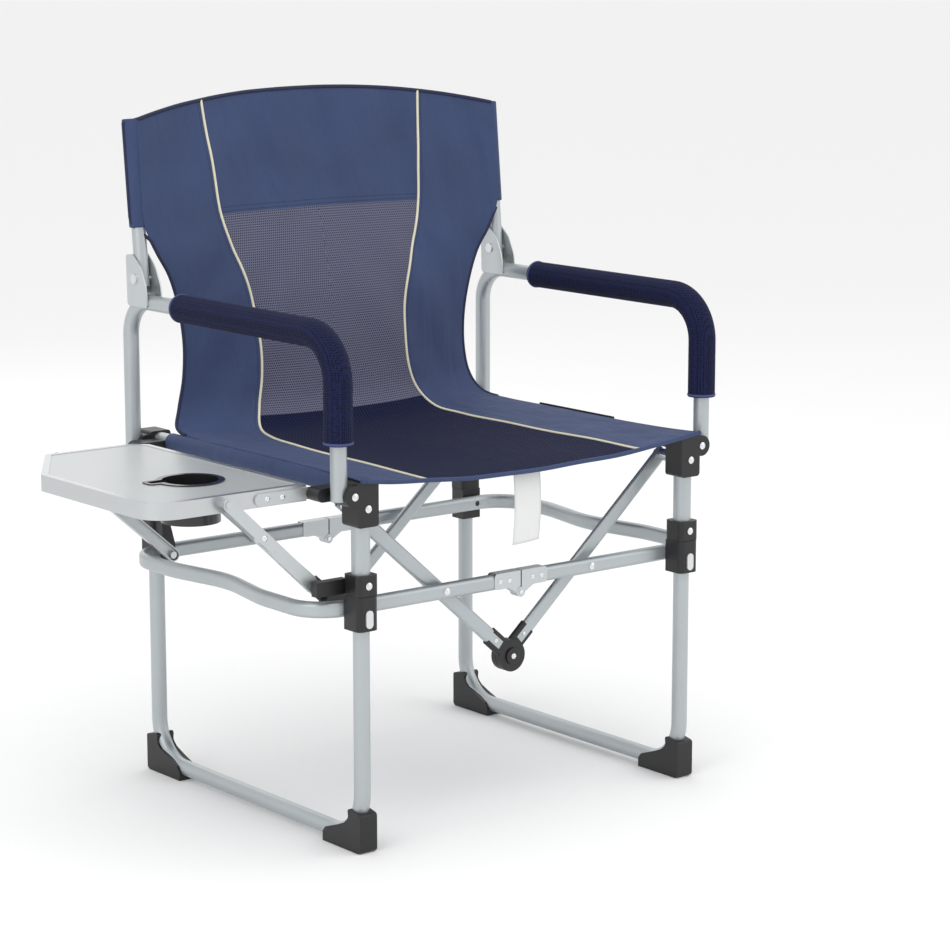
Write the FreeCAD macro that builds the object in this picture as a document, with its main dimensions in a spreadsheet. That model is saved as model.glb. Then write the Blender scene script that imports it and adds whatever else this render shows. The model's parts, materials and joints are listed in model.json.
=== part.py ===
"""Folding director chair with a side table, as a parametric document in millimetres.

+Z is up, the chair's front faces -Y and the sitter's left hand is on +X. The origin is on the floor,
under the middle of the four legs. The side table is on the sitter's right, -X.
"""

import FreeCAD, Part
import math
import os
import Sketcher

V = FreeCAD.Vector

SIZES = {
    # leg frames: one bent tube on each side, front leg, floor rail and rear leg
    "halfWidth": 280, "halfDepth": 245, "legRadius": 11, "tubeWall": 1.2, "footBend": 62,
    "railCentre": 16, "legTop": 474, "sleeveRadius": 12.5, "sleeveBottom": 372, "sleeveTop": 436,
    # corner shoes
    "shoeHalfThick": 14, "shoeTop": 58, "shoeRun": 84, "shoeHeel": 13, "shoeLip": 7,
    # collars, clamps and top brackets on the legs
    "collarHalfWidth": 17, "collarHalfDeep": 17, "collarBottom": 345, "collarTop": 372.5,
    "clampBottom": 299, "clampTop": 344.5, "clampInner": 15, "clampOuter": 17.5, "slideGap": 0.15,
    "bracketBottom": 436, "bracketTop": 496, "bracketHalfWidth": 17, "hubOutset": 21,
    "hubHeight": 478, "hubRadius": 14.5, "capHeight": 315,
    # cross frame: a flat-oval tube on each side, hinged in the middle
    "pivotHeight": 324, "barInset": 22.5, "barHeight": 22, "barThick": 14, "barWall": 1.4,
    "barCorner": 52, "railOutset": 58, "railWave": 20, "barGap": 1.0, "hingeDrop": 18,
    "leafReach": 46, "leafPin": 3, "earRadius": 7, "tongueHalf": 4, "crossOffset": 127,
    "pinRadius": 4, "pinGap": 0.05,
    # diagonal braces and their bottom hinge
    "braceTopHeight": 460, "braceFootHeight": 213, "braceInset": 37.5, "braceStep": 9.8,
    "braceWide": 21, "braceThick": 9, "braceWall": 1.2, "discRadius": 22,
    # arms
    "armOutset": 34, "armHeight": 683, "armRadius": 11, "armFrontBend": 60, "armRearBend": 50,
    "armFoot": 472, "gripRadius": 19, "gripRearEnd": 118, "gripFrontFoot": 545,
    # back posts, hinged on the arms
    "postRadius": 10, "postPivotBack": 213, "postPivotHeight": 715, "postLean": 5.5,
    "postLength": 214, "postHeel": 11, "cheekThick": 2, "cheekGap": 10.9,
    # seat rails and sling
    "seatRailHeight": 484, "seatRailRadius": 10, "slingThick": 3, "slingHalfWidth": 262,
    "slingTop": 492, "backBottom": 494, "waistHalf": 250, "backLow": 225,
    "backSplit": 715, "panelHalf": 298, "panelTop": 955,
    # side table
    "tableTop": 490, "tableThick": 22, "tableInner": 53, "tableOuter": 286, "tableFront": 200,
    "tableRear": 194, "tableChamferX": 80, "tableChamferY": 125, "tableBend": 42, "trimWide": 9,
    "boardThick": 5, "tableHingeOutset": 46, "tableHingeHeight": 478, "tablePinRadius": 3,
    "cupOutset": 154, "cupPlace": 84, "cupRadius": 37, "cupDeep": 54, "cupWall": 2, "cupFlange": 6,
    # table struts: a short flat link and a channel, on the front and on the rear edge
    "strutTopOutset": 181, "strutTopHeight": 480, "linkWide": 16, "linkThick": 2,
    "channelWide": 18, "channelDeep": 8.5, "channelWall": 1.5, "strutPin": 3, "strutSplit": 0.4,
    "frontLugOutset": 49, "frontLugHeight": 356, "rearLugOutset": 0.5, "rearLugHeight": 322,
    # rivets
    "rivetRadius": 5, "rivetDome": 2.5,
}

SIDES = {"right": -1, "left": 1}
ENDS = {"front": -1, "rear": 1}

doc = FreeCAD.newDocument("DirectorChair")
sheet = doc.addObject("Spreadsheet::Sheet", "Sizes")
for row, (alias, value) in enumerate(SIZES.items(), start=1):
    sheet.set(f"A{row}", str(value))
    sheet.setAlias(f"A{row}", alias)
doc.recompute()

parts = {}


def size(expression):
    """The value of an expression on the sheet's cells; a bare word is one cell."""
    return float(sheet.evalExpression(cells(expression)))


def cells(expression):
    """The expression with each cell's alias written in full."""
    words, word = [], ""
    for letter in str(expression) + " ":
        if letter.isalnum():
            word += letter
            continue
        words.append(f"Sizes.{word}" if word in SIZES else word)
        words.append(letter)
        word = ""
    return "".join(words).strip()


def bind(thing, **properties):
    """Bind properties to expressions: Radius="legRadius"; a place is Base_x, Base_y and Base_z."""
    for name, expression in properties.items():
        target = f"Placement.Base.{name[-1]}" if name.startswith("Base_") else name
        thing.setExpression(target, cells(expression))
    return thing


def keep(label, thing):
    """Name a finished sub-part."""
    thing.Label = label
    parts[label] = thing
    return thing


TURNS = {"z": FreeCAD.Rotation(), "y": FreeCAD.Rotation(V(1, 0, 0), -90),
         "x": FreeCAD.Rotation(V(0, 1, 0), 90)}


def cylinder(place, radius, length, axis="y"):
    """A solid cylinder with its middle at place, given as three expressions."""
    rod = doc.addObject("Part::Cylinder", "Rod")
    rod.Placement.Rotation = TURNS[axis]
    start = [f"{p}-({length})/2" if a == axis else p for a, p in zip("xyz", place)]
    return bind(rod, Radius=radius, Height=length, Base_x=start[0], Base_y=start[1], Base_z=start[2])


def block(low, high):
    """A box between two corners, given as expressions."""
    brick = doc.addObject("Part::Box", "Block")
    spans = [f"({b})-({a})" for a, b in zip(low, high)]
    return bind(brick, Length=spans[0], Width=spans[1], Height=spans[2],
                Base_x=low[0], Base_y=low[1], Base_z=low[2])


def fuse(*things):
    """All the things as one solid."""
    joined = doc.addObject("Part::MultiFuse", "Fuse")
    joined.Shapes = list(things)
    return joined


def cut(base, *tools):
    """The base with each tool taken away."""
    for tool in tools:
        less = doc.addObject("Part::Cut", "Cut")
        less.Base, less.Tool = base, tool
        base = less
    return base


def group(*things):
    """Separate solids in one sub-part."""
    held = doc.addObject("Part::Compound", "Group")
    held.Links = list(things)
    return held


def plate(plane, corners, thickness, centre, rounded=(), holes=()):
    """A flat piece cut from sheet: a closed outline on XY, XZ or YZ, padded evenly about centre.

    corners are pairs of expressions, rounded holds (radius, corner numbers) and holes holds
    (x, y, radius). centre is where the middle of the thickness lies on the plane's normal axis.
    """
    body = doc.addObject("PartDesign::Body", "Plate")
    sketch = body.newObject("Sketcher::SketchObject", "Outline")
    origin = [f for f in body.Origin.OriginFeatures if f.Role == f"{plane}_Plane"][0]
    sketch.AttachmentSupport = [(origin, "")]
    sketch.MapMode = "FlatFace"
    places = [(size(x), size(y)) for x, y in corners]
    count = len(places)
    for k in range(count):
        here, there = places[k], places[(k + 1) % count]
        sketch.addGeometry(Part.LineSegment(V(*here, 0), V(*there, 0)), False)
    for k in range(count):
        sketch.addConstraint(Sketcher.Constraint("Coincident", k, 2, (k + 1) % count, 1))
    for k, pair in enumerate(corners):
        pin_point(sketch, k, 1, pair, places[k])
    for k, (x, y, radius) in enumerate(holes):
        edge = count + k
        middle = (size(x), size(y))
        sketch.addGeometry(Part.Circle(V(*middle, 0), V(0, 0, 1), size(radius)), False)
        pin_point(sketch, edge, 3, (x, y), middle)
        ring = sketch.addConstraint(Sketcher.Constraint("Radius", edge, size(radius)))
        sketch.setExpression(f"Constraints[{ring}]", cells(radius))
    pad = body.newObject("PartDesign::Pad", "Pad")
    pad.Profile = sketch
    pad.SideType = "Symmetric"
    bind(pad, Length=thickness)
    doc.recompute()
    for radius, numbers in rounded:
        spots = [places[n] for n in numbers]
        round_corners(body, plane, spots, radius)
    normal = {"XY": "Base_z", "XZ": "Base_y", "YZ": "Base_x"}[plane]
    return bind(body, **{normal: centre})


def pin_point(sketch, edge, end, pair, place):
    """Hold one point of a sketch at a pair of expressions."""
    for kind, expression, value in zip(("DistanceX", "DistanceY"), pair, place):
        rule = sketch.addConstraint(Sketcher.Constraint(kind, -1, 1, edge, end, value))
        sketch.setExpression(f"Constraints[{rule}]", cells(expression))


def round_corners(body, plane, spots, radius):
    """Fillet the edges that stand on the outline's corners at the given spots."""
    pick = {"XY": lambda p: (p.x, p.y), "XZ": lambda p: (p.x, p.z), "YZ": lambda p: (p.y, p.z)}[plane]
    names, before = [], body.Tip
    for number, edge in enumerate(before.Shape.Edges, start=1):
        ends = [pick(v.Point) for v in edge.Vertexes]
        if len(ends) == 2 and math.dist(*ends) < 1e-6:
            if any(math.dist(ends[0], spot) < 1e-3 for spot in spots):
                names.append(f"Edge{number}")
    fillet = body.newObject("PartDesign::Fillet", "Rounding")
    fillet.Base = (before, names)
    bind(fillet, Radius=radius)
    doc.recompute()


def mirrored(expression, sign):
    """An expression times a side's sign."""
    return expression if sign > 0 else f"-({expression})"


def path(points, bends):
    """A wire of straight runs joined by tangent arcs; bends holds one radius for each inner point."""
    points = [V(*p) for p in points]
    edges, start = [], points[0]
    for corner, before, after, radius in zip(points[1:-1], points, points[2:], bends):
        back, on = (before - corner).normalize(), (after - corner).normalize()
        turn = math.pi - back.getAngle(on)
        reach = radius * math.tan(turn / 2)
        first, last = corner + back * reach, corner + on * reach
        middle = corner + (back + on).normalize() * (radius / math.cos(turn / 2) - radius)
        edges += [Part.LineSegment(start, first).toShape(), Part.Arc(first, middle, last).toShape()]
        start = last
    edges.append(Part.LineSegment(start, points[-1]).toShape())
    line = doc.addObject("Part::Feature", "Path")
    line.Shape = Part.Wire(edges)
    return line


def oval(centre, direction, upright, height, thick):
    """A flat-oval outline with round ends, standing across a direction."""
    side = direction.cross(upright).normalize()
    straight, radius = upright * (height / 2 - thick / 2), thick / 2
    corners = [centre + straight + side * radius, centre + straight - side * radius,
               centre - straight - side * radius, centre - straight + side * radius]
    top, bottom = centre + upright * (height / 2), centre - upright * (height / 2)
    ring = doc.addObject("Part::Feature", "Oval")
    ring.Shape = Part.Wire([
        Part.Arc(corners[0], top, corners[1]).toShape(), Part.LineSegment(corners[1], corners[2]).toShape(),
        Part.Arc(corners[2], bottom, corners[3]).toShape(),
        Part.LineSegment(corners[3], corners[0]).toShape()])
    return ring


def sweep(outline, line):
    """A solid that follows a path."""
    swept = doc.addObject("Part::Sweep", "Sweep")
    swept.Sections, swept.Spine = [outline], (line, [])
    swept.Solid, swept.Frenet = True, False
    return swept


def round_bar(line, radius):
    """A round bar along a path."""
    first = line.Shape.OrderedEdges[0]
    start, direction = first.Vertexes[0].Point, first.tangentAt(first.FirstParameter)
    ring = doc.addObject("Part::Circle", "Ring")
    ring.Placement = FreeCAD.Placement(start, FreeCAD.Rotation(V(0, 0, 1), direction))
    bind(ring, Radius=radius)
    return sweep(ring, line)


def round_tube(line, radius, wall):
    """A round tube along a path."""
    return cut(round_bar(line, radius), round_bar(line, f"{radius}-{wall}"))


def oval_tube(line, height, thick, wall):
    """A flat-oval tube along a path that lies in one plane, its height square to the plane's cross axis."""
    first = line.Shape.OrderedEdges[0]
    start, direction = first.Vertexes[0].Point, first.tangentAt(first.FirstParameter)
    across = V(0, 1, 0) if abs(direction.z) > 0.01 else V(0, 0, 1)
    upright = across.cross(direction).normalize() if abs(direction.z) > 0.01 else across
    shells = [oval(start, direction, upright, height - less, thick - less) for less in (0, 2 * wall)]
    return cut(*(sweep(shell, line) for shell in shells))


def rivets(places, radius="rivetRadius", dome="rivetDome"):
    """Domed rivet heads; each place is (x, y, z, facing), facing being "-y", "+y", "-x" or "+x"."""
    heads = []
    for x, y, z, facing in places:
        sign, axis = (1 if facing[0] == "+" else -1), facing[1]
        disc = cylinder((x, y, z), radius, f"2*{dome}", axis)
        disc_size = size(dome)
        away = V(sign, 0, 0) if axis == "x" else V(0, sign, 0)
        doc.recompute()
        chamfer = doc.addObject("Part::Chamfer", "Dome")
        chamfer.Base = disc
        rims = [(n, 0.55 * disc_size, 1.6 * disc_size) for n, edge in enumerate(disc.Shape.Edges, start=1)
                if edge.Closed and (edge.CenterOfMass - disc.Shape.CenterOfMass).dot(away) > 0]
        chamfer.Edges = rims
        heads.append(chamfer)
    return heads


def leg_frame(side, s):
    """The bent leg tube, its upper sleeves and the four fittings of one side."""
    x = s * size("halfWidth")
    deep, low, top = size("halfDepth"), size("railCentre"), size("legTop")
    line = path([(x, -deep, top), (x, -deep, low), (x, deep, low), (x, deep, top)], [size("footBend")] * 2)
    keep(f"leg_tube_{side}", round_tube(line, "legRadius", "tubeWall"))
    solid_leg = round_bar(line, "legRadius")
    middle = mirrored("halfWidth", s)
    sleeves, collars = [], []
    for end, e in ENDS.items():
        depth = mirrored("halfDepth", e)
        place = (middle, depth, "(sleeveBottom+sleeveTop)/2")
        outer = cylinder(place, "sleeveRadius", "sleeveTop-sleeveBottom", "z")
        sleeves.append(cut(outer, cylinder(place, "legRadius", "sleeveTop-sleeveBottom+2", "z")))
        shoe(side, end, s, e, solid_leg)
        collars.append(collar(side, end, s, e))
        top_bracket(side, end, s, e)
    keep(f"leg_sleeves_{side}", group(*sleeves))
    keep(f"leg_collars_{side}", group(*collars))


def shoe(side, end, s, e, leg):
    """A triangular corner shoe under a bend of the leg tube, with an upturned toe."""
    def at(distance):
        return mirrored(f"halfDepth+legRadius+2-({distance})", e)
    outline = [(at("0"), "0"), (at("shoeRun"), "0"), (at("shoeRun"), "shoeHeel"),
               (at("shoeRun-6"), "shoeHeel+shoeLip"), (at("0.62*shoeRun"), "railCentre+13"),
               (at("0.42*shoeRun"), "railCentre+20"), (at("0.31*shoeRun"), "shoeTop-14"),
               (at("legRadius*2+6"), "shoeTop"), (at("0"), "shoeTop-6")]
    wedge = plate("YZ", outline, "2*shoeHalfThick", mirrored("halfWidth", s),
                  rounded=[("6", (0,)), ("3", (2, 3)), ("9", (5, 6)), ("4", (7, 8))])
    keep(f"shoe_{end}_{side}", cut(wedge, leg))


def collar(side, end, s, e):
    """A fixed stop collar round the leg; the table side's collars carry a strut lug."""
    inward = f"({mirrored('halfDepth', e)})"
    x, y, half, deep = mirrored("halfWidth", s), inward, "collarHalfWidth", "collarHalfDeep"
    outline = [(f"{x}-{half}", f"{y}-{deep}"), (f"{x}+{half}", f"{y}-{deep}"),
               (f"{x}+{half}", f"{y}+{deep}"), (f"{x}-{half}", f"{y}+{deep}")]
    ring = plate("XY", outline, "collarTop-collarBottom", "(collarTop+collarBottom)/2",
                 rounded=[("7", (0, 1, 2, 3))])
    ring = cut(ring, cylinder((x, y, "collarTop"), "legRadius", "60", "z"),
               cylinder((x, y, "sleeveBottom+10"), "sleeveRadius", "20", "z"))
    if side == "right":
        ring = fuse(ring, *strut_lug(end, e))
    return ring


def strut_lug(end, e):
    """The lug that carries a table strut's lower pin."""
    wall = f"({mirrored('halfDepth-collarHalfDeep+1', e)})"
    if end == "front":
        face = "-tableFront-16.5"
        return [block(("-halfWidth-frontLugOutset-9", wall, "collarBottom+0.5"),
                      ("-halfWidth-10", face, "collarBottom+20"))]
    arm = block(("-halfWidth-12", "tableRear+15.2", "collarBottom+1"), ("-halfWidth", wall, "collarTop-2"))
    tongue = plate("XZ", [("-halfWidth-12", "collarTop-2"), ("-halfWidth-12", "rearLugHeight-11"),
                          ("-halfWidth+9", "rearLugHeight-11"), ("-halfWidth+9", "rearLugHeight+14"),
                          ("-halfWidth", "collarTop-2")],
                   "5.6", "tableRear+15.2+2.8", rounded=[("9", (1, 2))])
    return [arm, tongue]


def top_bracket(side, end, s, e):
    """The black bracket on a leg's top, with the round hub that holds the arm's foot."""
    x, y = mirrored("halfWidth", s), mirrored("halfDepth", e)
    outline = [(f"{x}-bracketHalfWidth", "bracketBottom"), (f"{x}+bracketHalfWidth", "bracketBottom"),
               (f"{x}+bracketHalfWidth", "bracketTop"), (f"{x}-bracketHalfWidth", "bracketTop")]
    clamp = plate("XZ", outline, "2*collarHalfDeep", y, rounded=[("5", (0, 1, 2, 3))])
    hub = cylinder((mirrored("halfWidth+hubOutset", s), y, "hubHeight"), "hubRadius", "2*collarHalfDeep")
    arm = cylinder((mirrored("halfWidth+armOutset", s), y, "armFoot+50"), "armRadius", "100", "z")
    leg = cylinder((x, y, "(legTop+bracketBottom)/2-10"), "legRadius", "legTop-bracketBottom+20", "z")
    keep(f"top_bracket_{end}_{side}", cut(fuse(clamp, hub), leg, arm, seat_rail_bar(s)))


def seat_rail_bar(s):
    """The solid bar of a seat rail, as long as the rail."""
    return cylinder((mirrored("halfWidth", s), "0", "seatRailHeight"), "seatRailRadius",
                    "2*(halfDepth-legRadius-1)")


def seat_rail(side, s):
    """The tube between the top brackets that the seat hangs from."""
    bore = cylinder((mirrored("halfWidth", s), "0", "seatRailHeight"), "seatRailRadius-tubeWall",
                    "2*halfDepth")
    keep(f"seat_rail_{side}", cut(seat_rail_bar(s), bore))


def arm_line(s):
    """The arm tube's middle line: up the front post, along the top and down the rear post."""
    x = s * size("halfWidth+armOutset")
    deep, foot, top = size("halfDepth"), size("armFoot"), size("armHeight")
    return path([(x, -deep, foot), (x, -deep, top), (x, deep, top), (x, deep, foot)],
                [size("armFrontBend"), size("armRearBend")])


def arm(side, s):
    """The bent arm tube and its foam grip."""
    line = arm_line(s)
    keep(f"arm_tube_{side}", round_tube(line, "armRadius", "tubeWall"))
    x = s * size("halfWidth+armOutset")
    deep, top = size("halfDepth"), size("armHeight")
    grip_line = path([(x, -deep, size("gripFrontFoot")), (x, -deep, top), (x, size("gripRearEnd"), top)],
                     [size("armFrontBend")])
    keep(f"arm_grip_{side}", cut(round_bar(grip_line, "gripRadius"), round_bar(grip_line, "armRadius")))


def back_hinge(side, s):
    """The sheet-metal channel on the arm, open to the front, that a back post folds out of."""
    x = f"({mirrored('halfWidth+armOutset', s)})"
    back, arm_top = "postPivotBack", "armHeight"
    outline = [(f"{back}+19", f"{arm_top}-6"), (f"{back}+21", f"{arm_top}+64"),
               (f"{back}+5", f"{arm_top}+66"), (f"{back}-16", f"{arm_top}+48"),
               (f"{back}-28", f"{arm_top}+24"), (f"{back}-32", f"{arm_top}-6")]
    cheeks = [plate("YZ", outline, "cheekThick", f"{x}+{k}*(cheekGap+cheekThick/2)",
                    rounded=[("5", (0, 1, 2, 5)), ("26", (3, 4))],
                    holes=[(back, "postPivotHeight", "pinRadius")]) for k in (-1, 1)]
    web = plate("YZ", [(f"{back}+15.6", f"{arm_top}+8"), (f"{back}+18", f"{arm_top}+8"),
                       (f"{back}+19.4", f"{arm_top}+58"), (f"{back}+17", f"{arm_top}+58")],
                "2*cheekGap+0.02", x)
    keep(f"back_hinge_{side}", cut(fuse(*cheeks, web), round_bar(arm_line(s), "armRadius")))


def back_post(side, s):
    """A back post, which leans back a little and turns on a pin through its foot."""
    lean = math.radians(size("postLean"))
    foot = V(s * size("halfWidth+armOutset"), size("postPivotBack"), size("postPivotHeight"))
    along = V(0, math.sin(lean), math.cos(lean))
    line = path([foot - along * size("postHeel"), foot + along * size("postLength")], [])
    hole = cylinder((mirrored("halfWidth+armOutset", s), "postPivotBack", "postPivotHeight"),
                    "pinRadius+pinGap", "40", "x")
    keep(f"back_post_{side}", cut(round_tube(line, "postRadius", "tubeWall"), hole))


def back_pin(s):
    """The pin through a back hinge and its post, with a head at each end."""
    x, spot = f"({mirrored('halfWidth+armOutset', s)})", ("postPivotBack", "postPivotHeight")
    outside = "cheekGap+cheekThick"
    heads = [cylinder((f"{x}+{k}*({outside}+1)", *spot), "7", "2", "x") for k in (-1, 1)]
    return fuse(cylinder((x, *spot), "pinRadius", f"2*({outside}+1)", "x"), *heads)


def clamp(side, end, s, e):
    """The sliding clamp on a leg, with the pin that the cross frame turns on."""
    x, y = f"({mirrored('halfWidth', s)})", f"({mirrored('halfDepth', e)})"
    inner, outer = (("clampInner", "clampOuter") if e < 0 else ("clampOuter", "clampInner"))
    outline = [(f"{x}-collarHalfWidth+0.5", f"{y}-{outer}"), (f"{x}+collarHalfWidth-0.5", f"{y}-{outer}"),
               (f"{x}+collarHalfWidth-0.5", f"{y}+{inner}"), (f"{x}-collarHalfWidth+0.5", f"{y}+{inner}")]
    front = (0, 1) if e < 0 else (2, 3)
    body = plate("XY", outline, "clampTop-clampBottom", "(clampTop+clampBottom)/2", rounded=[("8", front)])
    bore = cylinder((x, y, "clampTop"), "legRadius+slideGap", "120", "z")
    pin_end = mirrored("halfDepth-barInset-barThick/2+0.6", e)
    start = mirrored("halfDepth-12", e)
    pin = cylinder((x, f"({pin_end}+{start})/2", "pivotHeight"), "pinRadius",
                   "barInset+barThick/2-12-0.6")
    keep(f"clamp_{end}_{side}", cut(fuse(body, pin), bore))


def clamp_caps(side, s):
    """The silver oval buttons on the outer faces of one side's clamps."""
    caps = []
    for e in ENDS.values():
        x, z = f"({mirrored('halfWidth', s)})", "capHeight"
        outline = [(f"{x}-5.5", f"{z}-12"), (f"{x}+5.5", f"{z}-12"),
                   (f"{x}+5.5", f"{z}+12"), (f"{x}-5.5", f"{z}+12")]
        caps.append(plate("XZ", outline, "2", mirrored("halfDepth+clampOuter+1", e),
                          rounded=[("5.4", (0, 1, 2, 3))]))
    keep(f"clamp_caps_{side}", group(*caps))


def cross_frame(side, s):
    """Half of the cross frame: front bar, outer rail with its inward wave, and rear bar."""
    inner, outer = size("barGap"), size("halfWidth+railOutset")
    deep, z = size("halfDepth-barInset"), size("pivotHeight")
    wave = outer - size("railWave")
    points = [(s * inner, -deep, z), (s * outer, -deep, z), (s * outer, -0.45 * deep, z),
              (s * wave, 0.02 * deep, z), (s * outer, 0.5 * deep, z), (s * outer, deep, z),
              (s * inner, deep, z)]
    corner = size("barCorner")
    line = path(points, [corner, 150, 170, 150, corner])
    tube = oval_tube(line, size("barHeight"), size("barThick"), size("barWall"))
    holes = [cylinder((mirrored("halfWidth", s), mirrored("halfDepth-barInset", e), "pivotHeight"),
                      "pinRadius+pinGap", "barThick+4") for e in ENDS.values()]
    keep(f"cross_frame_{side}", cut(tube, *holes))
    middle_hinges(side, s)


def middle_hinges(side, s):
    """The sheet-metal leaves at the middle of the front and rear bars, each with an ear for its pin.

    The right side's ear is a tongue, and the left side's is a fork with a cheek on each face.
    """
    drop = "pivotHeight-hingeDrop"
    leaves = [hinge_leaf(s, f"({mirrored('halfDepth-barInset', e)})", drop) for e in ENDS.values()]
    if s > 0:
        places = [("0", f"({mirrored('halfDepth-barInset', e)})", drop) for e in ENDS.values()]
        keep("middle_pins", group(*(cylinder(place, "leafPin", "barThick+4") for place in places)))
        leaves = [cut(leaf, cylinder(place, "leafPin", "40")) for leaf, place in zip(leaves, places)]
    keep(f"middle_leaves_{side}", group(*leaves))


def hinge_leaf(s, y, drop):
    """One leaf: a sleeve round the bar's end with an ear below it."""
    half = "barHeight/2+1"
    far, near = mirrored("leafReach", s), mirrored("barGap", s)
    outline = [(far, f"pivotHeight+{half}"), (far, f"pivotHeight-{half}"),
               (mirrored("22", s), f"pivotHeight-{half}"), (mirrored("8", s), drop),
               (near, drop), (near, f"pivotHeight+{half}")]
    shell = plate("XZ", outline, "barThick+2", y, rounded=[("5", (0, 1))])
    bar = block((mirrored("leafReach/2", s) + "-leafReach", f"{y}-barThick/2", "pivotHeight-barHeight/2"),
                (mirrored("leafReach/2", s) + "+leafReach", f"{y}+barThick/2", "pivotHeight+barHeight/2"))
    shell = cut(shell, bar)
    if s > 0:
        fork = cut(cylinder(("0", y, drop), "earRadius", "barThick+2"),
                   cylinder(("0", y, drop), "earRadius+1", "2*tongueHalf+0.6"))
        slot = cylinder(("0", y, drop), "earRadius+0.5", "2*tongueHalf+0.6")
        return fuse(cut(shell, slot), fork)
    room = "barThick/2+1-tongueHalf+0.3"
    notches = [cylinder(("0", f"{y}+{k}*(tongueHalf-0.3+({room})/2)", drop), "earRadius+0.5", room)
               for k in (-1, 1)]
    tongue = cylinder(("0", y, drop), "earRadius", "2*(tongueHalf-0.3)")
    return cut(fuse(cut(shell, *notches), tongue), cylinder(("0", y, drop), "leafPin+pinGap", "40"))


def cross_rivets(side, s):
    """The rivets that join a cross frame's bars to its braces, set on the bars' outer faces."""
    heads = []
    for e in ENDS.values():
        face = mirrored("halfDepth-barInset+barThick/2", e)
        heads += rivets([(mirrored("crossOffset", s), face, "pivotHeight", "-y" if e < 0 else "+y")])
    walls = [block((f"{mirrored('crossOffset', s)}-20", f"({mirrored('halfDepth-barInset', e)})-barThick/2",
                    "pivotHeight-20"),
                   (f"{mirrored('crossOffset', s)}+20", f"({mirrored('halfDepth-barInset', e)})+barThick/2",
                    "pivotHeight+20")) for e in ENDS.values()]
    keep(f"cross_rivets_{side}", group(*(cut(head, wall) for head, wall in zip(heads, walls))))


def brace_depth(s):
    """How far a side's braces lie from the middle; the left ones pass inside the right ones."""
    return "halfDepth-braceInset" if s < 0 else "halfDepth-braceInset-braceStep"


def brace_place(s, e, distance):
    """A point on a diagonal brace's middle line, at a distance from its top pin."""
    rise = size("braceTopHeight-braceFootHeight")
    run = size("halfWidth")
    length = math.hypot(rise, run)
    x = s * (run - distance * run / length)
    return V(x, e * size(brace_depth(s)), size("braceTopHeight") - distance * rise / length)


def braces(side, s):
    """The two diagonal braces of one side, each ending in half of a round bottom hinge."""
    length = math.hypot(size("halfWidth"), size("braceTopHeight-braceFootHeight"))
    halves = []
    for end, e in ENDS.items():
        line = path([brace_place(s, e, -7), brace_place(s, e, length - 27)], [])
        tube = oval_tube(line, size("braceWide"), size("braceThick"), size("braceWall"))
        y = f"({mirrored(brace_depth(s), e)})"
        hole = cylinder((mirrored("halfWidth", s), y, "braceTopHeight"), "pinRadius+pinGap", "30")
        keep(f"brace_{end}_{side}", cut(tube, hole))
        halves.append(bottom_hinge_half(s, e, y, length))
    keep(f"bottom_hinge_{side}", group(*halves))


def bottom_hinge_half(s, e, y, length):
    """A disc and the arm that a brace's foot lies in; the two sides' discs lie side by side."""
    disc = cylinder(("0", y, "braceFootHeight"), "discRadius", "braceThick")
    solids = []
    for start, end, extra in ((length - 50, length - 12, 5), (length - 60, length - 27, 0)):
        line = path([brace_place(s, e, start), brace_place(s, e, end)], [])
        first = line.Shape.OrderedEdges[0]
        direction = first.tangentAt(first.FirstParameter)
        upright = V(0, 1, 0).cross(direction).normalize()
        tall = size("braceWide") + extra
        ring = oval(first.Vertexes[0].Point, direction, upright, tall, size("braceThick"))
        solids.append(sweep(ring, line))
    return cut(fuse(disc, solids[0]), solids[1])


def brace_pins(s):
    """The top pins of one side's braces, with the spacer that stands off the bracket."""
    pins = []
    bracket, brace = "(halfDepth-collarHalfDeep)", f"({brace_depth(s)})"
    for e in ENDS.values():
        x = mirrored("halfWidth", s)
        outside, inside = f"({brace}+braceThick/2+0.4)", f"({brace}-braceThick/2-0.4)"
        pin = cylinder((x, mirrored(f"({bracket}+{inside})/2", e), "braceTopHeight"), "pinRadius",
                       f"{bracket}-{inside}")
        spacer = cylinder((x, mirrored(f"({bracket}+{outside})/2", e), "braceTopHeight"), "9",
                          f"{bracket}-{outside}")
        head = cylinder((x, mirrored(f"{inside}-1.2", e), "braceTopHeight"), "7", "2.4")
        pins.append(fuse(pin, spacer, head))
    return pins


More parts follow.
